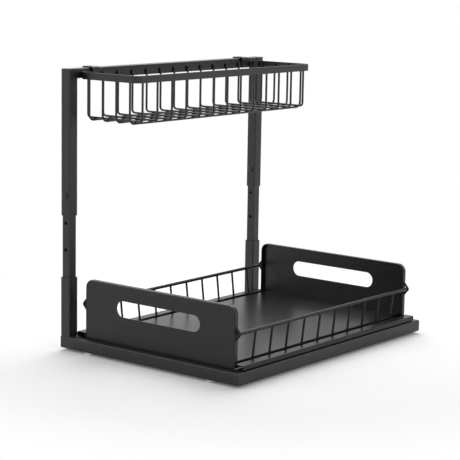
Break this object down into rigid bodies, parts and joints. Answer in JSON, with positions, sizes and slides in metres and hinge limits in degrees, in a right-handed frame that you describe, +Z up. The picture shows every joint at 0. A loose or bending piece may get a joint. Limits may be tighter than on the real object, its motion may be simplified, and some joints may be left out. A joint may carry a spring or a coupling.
{
  "type": "under_sink_organizer",
  "caption": "Two-tier under sink organizer: pull-out sheet tray with wire fences on a tube base, telescopic posts on one side, hanging wire basket",
  "frame": {"origin": "on the floor under the middle of the base ring", "axes": "+X from the posts toward the open side, +Y from the front to the rear, the tray slides out toward -Y, +Z up"},
  "size_m": [0.2942, 0.4044, 0.3658],
  "materials": {
    "frame_coat": "satin black powder coat with a fine grain on square steel tube",
    "inner_post_coat": "satin black powder coat, faint vertical sliding marks",
    "sheet_coat": "semi-gloss black powder coat on folded steel sheet",
    "wire_coat": "satin black powder coat on steel wire and band",
    "runner_coat": "satin black coat on folded runner sheet",
    "blackened_fasteners": "blackened steel screw heads and nuts",
    "foot_plastic": "pale translucent plastic pads"
  },
  "bodies": {
    "base": {"base_ring": "frame_coat", "fixed_runner_left": "runner_coat", "fixed_runner_right": "runner_coat", "foot_pad_front_left": "foot_plastic", "foot_pad_front_right": "foot_plastic", "foot_pad_rear_left": "foot_plastic", "foot_pad_rear_right": "foot_plastic", "inner_post_front": "inner_post_coat", "inner_post_rear": "inner_post_coat", "post_socket_front": "frame_coat", "post_socket_rear": "frame_coat"},
    "upper_frame": {"crossbar": "frame_coat", "lock_nut_front": "blackened_fasteners", "lock_nut_rear": "blackened_fasteners", "lock_screw_front": "blackened_fasteners", "lock_screw_rear": "blackened_fasteners", "upper_post_front": "frame_coat", "upper_post_rear": "frame_coat"},
    "basket": {"basket_hook_front": "wire_coat", "basket_hook_rear": "wire_coat", "basket_rim": "wire_coat", "basket_wires": "wire_coat"},
    "tray": {"fence_left": "wire_coat", "fence_right": "wire_coat", "handle_panel_front": "sheet_coat", "handle_panel_rear": "sheet_coat", "tray_plate": "sheet_coat", "tray_slider_left": "runner_coat", "tray_slider_right": "runner_coat"}
  },
  "joints": [
    {"name": "height_slide", "type": "slide", "parent": "base", "child": "upper_frame", "axis": [0, 0, 1], "range_m": [-0.07, 0.035]},
    {"name": "basket_lift", "type": "slide", "parent": "upper_frame", "child": "basket", "axis": [0, 0, 1], "range_m": [0, 0.03]},
    {"name": "tray_slide", "type": "slide", "parent": "base", "child": "tray", "axis": [0, -1, 0], "range_m": [0, 0.26]}
  ]
}
